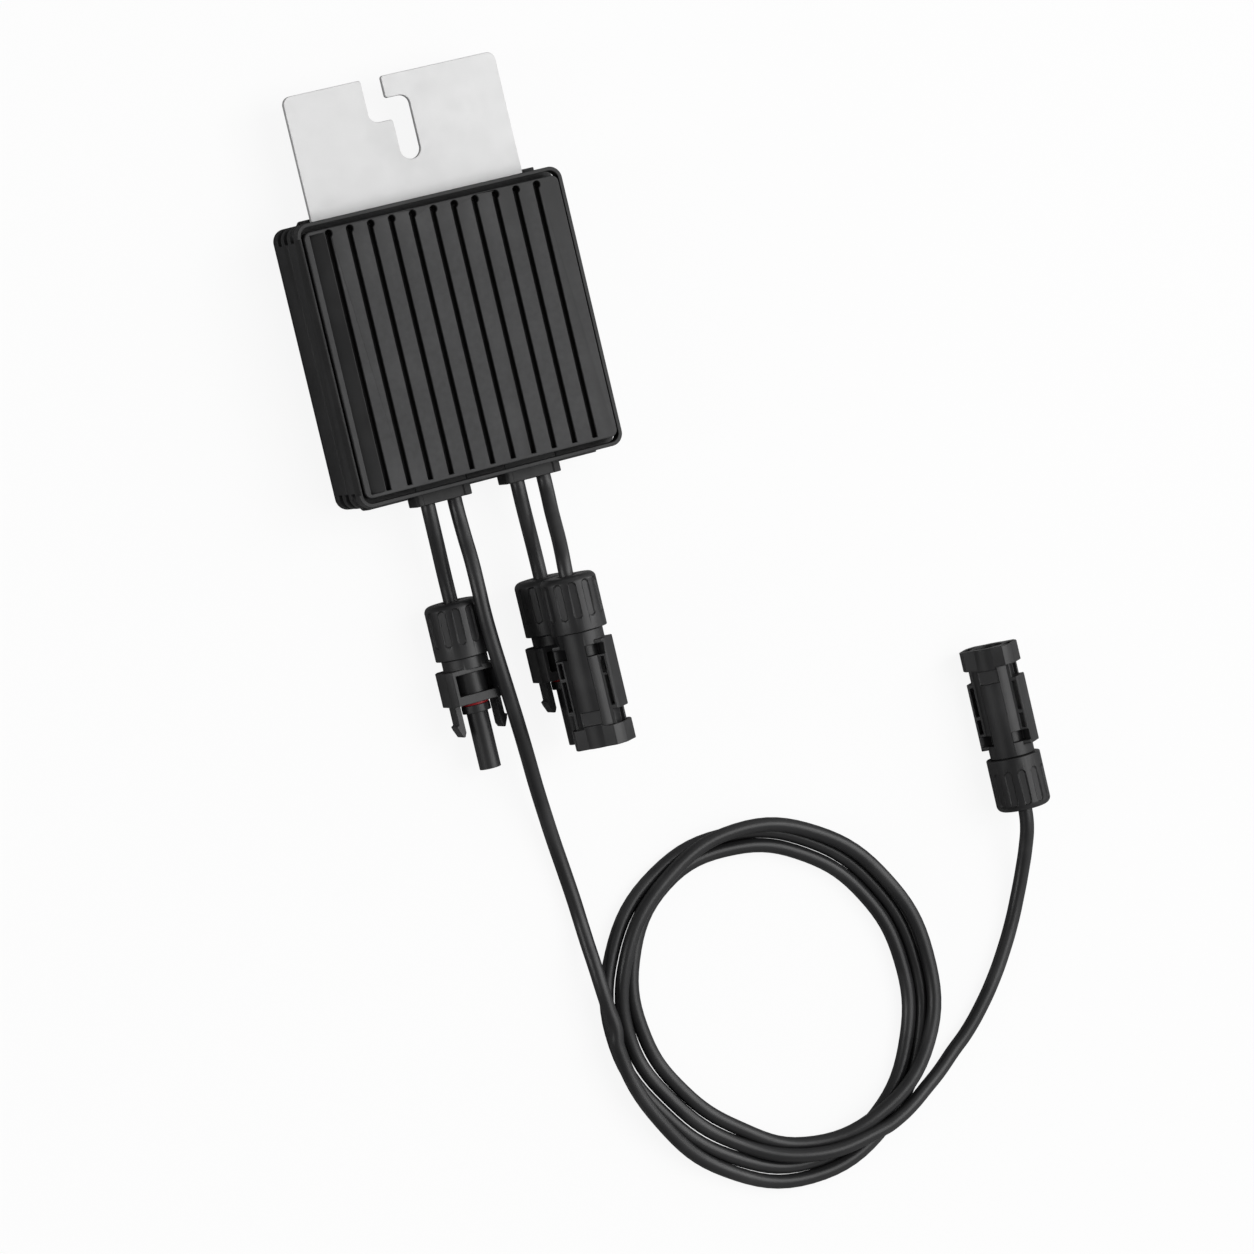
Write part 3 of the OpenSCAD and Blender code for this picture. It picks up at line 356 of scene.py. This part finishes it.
# ---- Glands
# Two moulded plastic blocks, each clamped between the shells round the rubber seals of two leads.
# The leads' inner ends run on behind them to the terminals on the board.
gland_plastic = finish("gland_plastic", (0.007, 0.007, 0.0075, 1), 0.6,
                       worn_colour=(0.08, 0.08, 0.08, 1), wear_amount=0.3, fine_scale=2400.0,
                       bump=0.25, bump_depth=0.03)
for node in ("gland_left", "gland_right"):
    dress(node, gland_plastic, 0.35, 3)
seal_rubber = finish("seal_rubber", (0.014, 0.014, 0.014, 1), 0.65, fine_scale=1200.0, bump=0.2)
dress("gland_seals", seal_rubber)
dress("lead_tails", sheath)


# ---- Connectors
# Latching round connectors moulded in black polyamide. Each has a fluted cap nut that squeezes
# the seal on the lead; the socket ones carry two latch fingers, a nose tube and its red ring.
polyamide = finish("connector_polyamide", (0.019, 0.019, 0.020, 1), 0.38,
                   worn_colour=(0.1, 0.1, 0.1, 1), wear_amount=0.3, drift=0.25,
                   fine_scale=2200.0, bump=0.3, bump_depth=0.03)
red_rubber = finish("nose_ring_red", (0.42, 0.008, 0.014, 1), 0.42, drift=0.3, fine_scale=1500.0,
                    bump=0.2)
tinned = finish("contact_tinned", (0.74, 0.73, 0.70, 1), 0.28, metallic=1.0, drift=0.15,
                fine_scale=1500.0, bump=0.15)
for letter in ("a", "c"):
    dress("socket_%s_housing" % letter, polyamide, 0.25, 3)
    dress("socket_%s_nut" % letter, polyamide, 0.3, 3)
    for side in ("left", "right"):
        dress("socket_%s_finger_%s" % (letter, side), polyamide, 0.2, 2)
    dress("socket_%s_nose_ring" % letter, red_rubber, 0.15, 2)
    dress("socket_%s_clamp_ring" % letter, polyamide)
    dress("socket_%s_seal" % letter, seal_rubber)
    dress("socket_%s_contact" % letter, tinned)
for letter in ("d", "far"):
    dress("pin_%s_housing" % letter, polyamide, 0.25, 3)
    dress("pin_%s_nut" % letter, polyamide, 0.3, 3)
    dress("pin_%s_clamp_ring" % letter, polyamide)
    dress("pin_%s_seal" % letter, seal_rubber)
    dress("pin_%s_contact" % letter, tinned)


# ---- Screws
# Zinc-plated steel pan-head screws hold the cover, the bracket and the board. Those that can be
# seen from behind have a six-lobe recess and a rolled thread.
zinc = finish("screw_zinc", (0.56, 0.56, 0.57, 1), 0.32, metallic=1.0, drift=0.15,
              fine_scale=1200.0, bump=0.15)
for node in ("board_screws", "lead_terminals"):
    dress(node, zinc, 0.15, 2)

# The outside of a head from the rim of its recess to its underside, as (radius, depth), in mm
head_section = ((1.55, 0.0), (2.2, 0.12), (2.62, 0.5), (2.78, 1.0), (2.8, 2.05), (2.66, 2.2),
                (1.5, 2.2))
head_d = 5.6
shank_d = 3.0
thread_pitch = 0.5
thread_depth = 0.27
recess_floor = 0.9                 # how deep the driver recess goes
recess_chamfer = 0.12
lobes = 6
lobe_inner, lobe_outer = 0.82, 1.22
around = 96


def lobed(angle):
    """The radius of the six-lobed driver recess at an angle."""
    return lobe_inner + (lobe_outer - lobe_inner) * (0.5 + 0.5 * math.cos(lobes * angle)) ** 0.7


def thread(length):
    """Rings of a shank with a rolled thread under the head, as (radius, depth)."""
    crest = shank_d / 2 - 0.05
    rings, depth = [], 2.6
    while depth < length - 1.2:
        rings += [(crest, depth), (crest - thread_depth, depth + thread_pitch / 2)]
        depth += thread_pitch
    return rings + [(shank_d / 2 - 0.45, length - 0.3), (0.35, length)]


def pan_screws(name, node, places, face_z, length):
    """Pan-head screws with a six-lobe recess, whose heads look to -Z from face_z."""
    mesh = bmesh.new()
    for x, y in places:
        rings = [(0.0, recess_floor), ("lobes", recess_floor), ("lobes", recess_chamfer),
                 (1.45, 0.0)]
        rings += list(head_section) + thread(length)
        previous = None
        for radius, depth in rings:
            if radius == 0.0:
                ring = [mesh.verts.new((x * MM, y * MM, (face_z + depth) * MM))]
            else:
                ring = []
                for step in range(around):
                    turn = 2 * math.pi * step / around
                    reach = lobed(turn) if radius == "lobes" else radius
                    ring.append(mesh.verts.new(((x + reach * math.cos(turn)) * MM,
                                                (y + reach * math.sin(turn)) * MM,
                                                (face_z + depth) * MM)))
            if previous:
                for step in range(around):
                    after = (step + 1) % around
                    if len(previous) == 1:
                        mesh.faces.new((previous[0], ring[step], ring[after]))
                    else:
                        mesh.faces.new((previous[step], ring[step], ring[after], previous[after]))
            previous = ring
        mesh.faces.new(previous)
    bmesh.ops.recalc_face_normals(mesh, faces=mesh.faces)
    data = bpy.data.meshes.new(name)
    mesh.to_mesh(data)
    mesh.free()
    data.shade_smooth()
    data.materials.append(zinc)
    piece = bpy.data.objects.new(name, data)
    bpy.context.scene.collection.objects.link(piece)
    crisp = piece.modifiers.new("crisp", "EDGE_SPLIT")
    crisp.split_angle = math.radians(40)
    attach(piece, "converter")
    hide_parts(node)


cover_low, cover_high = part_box("cover_screws")
bracket_low, bracket_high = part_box("bracket_screws")
half_head = head_d / 2 * MM
corners = [(x / MM, y / MM) for x in (cover_low[0] + half_head, cover_high[0] - half_head)
           for y in (cover_low[1] + half_head, cover_high[1] - half_head)]
pan_screws("visual_cover_screws", "cover_screws", corners, cover_low[2] / MM,
           (cover_high[2] - cover_low[2]) / MM)
row = [(x / MM, (bracket_low[1] + half_head) / MM)
       for x in (bracket_low[0] + half_head, 0.0, bracket_high[0] - half_head)]
pan_screws("visual_bracket_screws", "bracket_screws", row, bracket_low[2] / MM,
           (bracket_high[2] - bracket_low[2]) / MM)


# ---- Electronics
# The circuit board with its power parts stands in the casing under a layer of potting compound.
# Each row is the node, its material's name, colour, roughness and how metallic it is.
inside = (
    ("board", "board_green", (0.025, 0.13, 0.06, 1), 0.35, 0.0),
    ("heat_spreader", "spreader_metal", (0.68, 0.68, 0.69, 1), 0.4, 0.8),
    ("thermal_pad", "pad_grey", (0.42, 0.45, 0.47, 1), 0.8, 0.0),
    ("power_transistors", "chip_epoxy", (0.02, 0.02, 0.021, 1), 0.55, 0.0),
    ("control_chips", "chip_epoxy_fine", (0.022, 0.022, 0.023, 1), 0.5, 0.0),
    ("potting_layer", "potting_grey", (0.06, 0.06, 0.062, 1), 0.6, 0.0),
    ("inductor_core", "ferrite_grey", (0.06, 0.06, 0.065, 1), 0.6, 0.0),
    ("comms_transformer", "ferrite_small", (0.055, 0.055, 0.06, 1), 0.6, 0.0),
    ("inductor_coil", "copper_enamel", (0.55, 0.22, 0.09, 1), 0.3, 0.8),
    ("filter_capacitors", "can_sleeve", (0.03, 0.035, 0.16, 1), 0.35, 0.0),
    ("film_capacitors", "film_box", (0.5, 0.3, 0.04, 1), 0.4, 0.0))
for node, name, colour, roughness, metallic in inside:
    dress(node, finish(name, colour, roughness, metallic, fine_scale=1600.0, bump=0.15), 0.15, 2)


# ---- Floor and light
# A plain pale floor under a wide overhead softbox, with one strip softbox on each side. The room
# behind them is brighter on the right.
floor_mesh = bpy.data.meshes.new("floor")
floor_reach = 4.0
floor_z = cad_box[0][2] - 0.1 * MM
floor_mesh.from_pydata([(x * floor_reach, y * floor_reach, floor_z)
                        for x, y in ((-1, -1), (1, -1), (1, 1), (-1, 1))], [], [(0, 1, 2, 3)])
floor = bpy.data.objects.new("floor", floor_mesh)
bpy.context.scene.collection.objects.link(floor)
pale = bpy.data.materials.new("floor_pale")
pale.use_nodes = True
paper = pale.node_tree.nodes["Principled BSDF"]
paper.inputs["Roughness"].default_value = 0.9
paper.inputs["Specular IOR Level"].default_value = 0.1
paper.inputs["Emission Color"].default_value = (1, 1, 1, 1)
# The paper looks white, and gives the dark pieces little light back from below.
rays = pale.node_tree.nodes.new("ShaderNodeLightPath").outputs["Is Camera Ray"]
pale.node_tree.links.new(mixed(pale.node_tree, rays, (0.32, 0.32, 0.32, 1), (0.10, 0.10, 0.10, 1)),
                         paper.inputs["Base Color"])
glow = maths(pale.node_tree, "MULTIPLY", rays, 0.9)
pale.node_tree.links.new(glow, paper.inputs["Emission Strength"])
floor_mesh.materials.append(pale)


def softbox(name, at, aim, width, height, power):
    """A rectangular area light that faces a point."""
    data = bpy.data.lights.new(name, "AREA")
    data.shape = "RECTANGLE"
    data.size, data.size_y, data.energy = width, height, power
    lamp = bpy.data.objects.new(name, data)
    lamp.location = at
    lamp.rotation_euler = (Vector(aim) - Vector(at)).to_track_quat("-Z", "Y").to_euler()
    bpy.context.scene.collection.objects.link(lamp)


softbox("overhead", (1.08, 0.0, 1.95), (0.03, -0.1, 0), 1.5, 1.9, 20)
softbox("left_strip", (-1.6, 0.1, 0.34), (0, -0.1, 0), 0.3, 1.6, 8.0)
softbox("right_strip", (1.7, 0.2, 0.9), (0, -0.1, 0), 0.5, 1.8, 6)
world = bpy.data.worlds.new("studio")
bpy.context.scene.world = world
world.use_nodes = True
sky = world.node_tree
direction = sky.nodes.new("ShaderNodeSeparateXYZ")
sky.links.new(sky.nodes.new("ShaderNodeTexCoord").outputs["Generated"], direction.inputs[0])
side = sky.nodes.new("ShaderNodeMapRange")
for label, value in (("From Min", -0.7), ("From Max", 0.7), ("To Min", 0.10), ("To Max", 0.62)):
    side.inputs[label].default_value = value
sky.links.new(direction.outputs["X"], side.inputs["Value"])
sky.links.new(side.outputs[0], sky.nodes["Background"].inputs["Strength"])
sky.nodes["Background"].inputs["Color"].default_value = (1, 1, 1, 1)
bpy.context.scene.view_settings.view_transform = "Standard"
